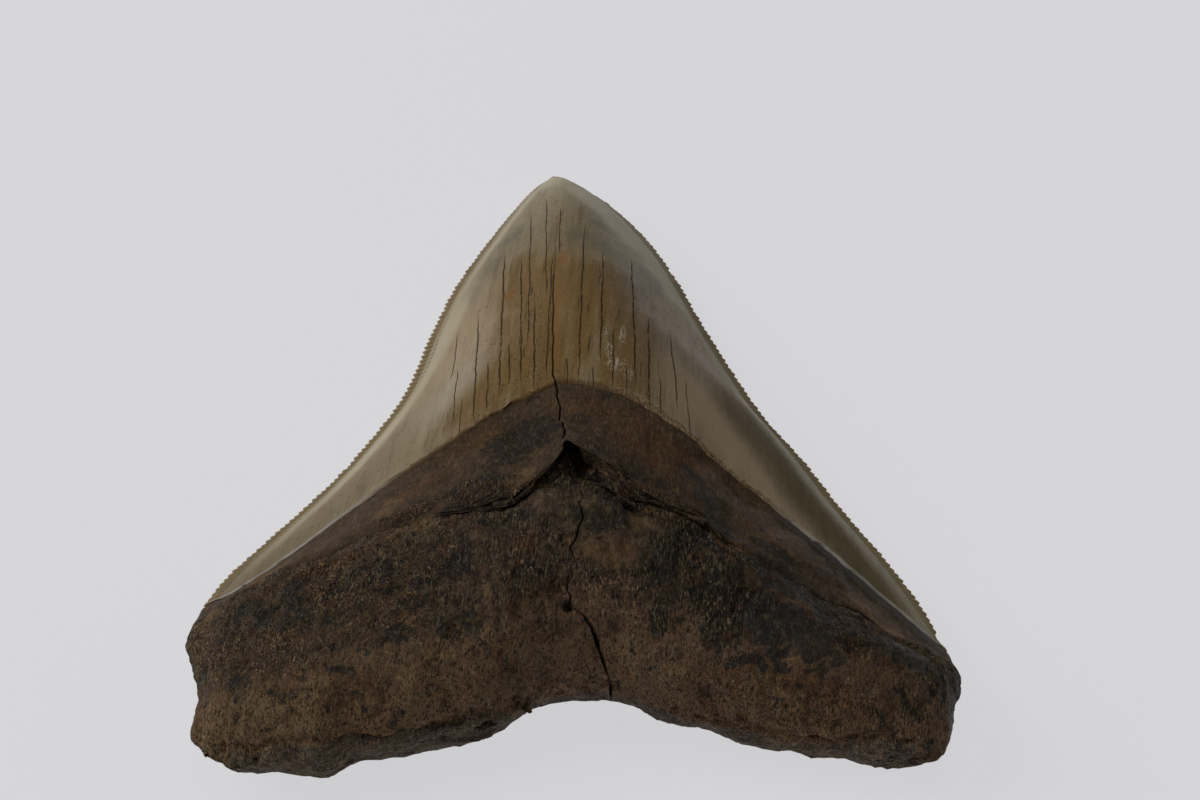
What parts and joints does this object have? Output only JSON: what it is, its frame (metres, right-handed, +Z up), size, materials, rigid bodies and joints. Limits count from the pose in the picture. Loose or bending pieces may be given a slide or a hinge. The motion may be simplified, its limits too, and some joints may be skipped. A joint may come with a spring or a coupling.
{
  "type": "megalodon tooth",
  "caption": "Large triangular fossil shark tooth lying on its flat labial face, with serrated cutting edges, a thick two-lobed root and a crack down its middle.",
  "frame": {"origin": "On the resting plane, under the middle of the tooth's box, which is its lowest face's level.", "axes": "+Y runs from the root to the tip along the resting plane, +X to the right as seen on the lingual face with the root towards the viewer, and +Z up out of the lingual face."},
  "size_m": [0.1084, 0.121, 0.025],
  "materials": {
    "tooth": "Fossil: smooth grey-beige enamel with a soft gloss on the crown, and dull, pitted, mottled brown-black root."
  },
  "bodies": {
    "root": {"tooth": "tooth"}
  },
  "joints": []
}
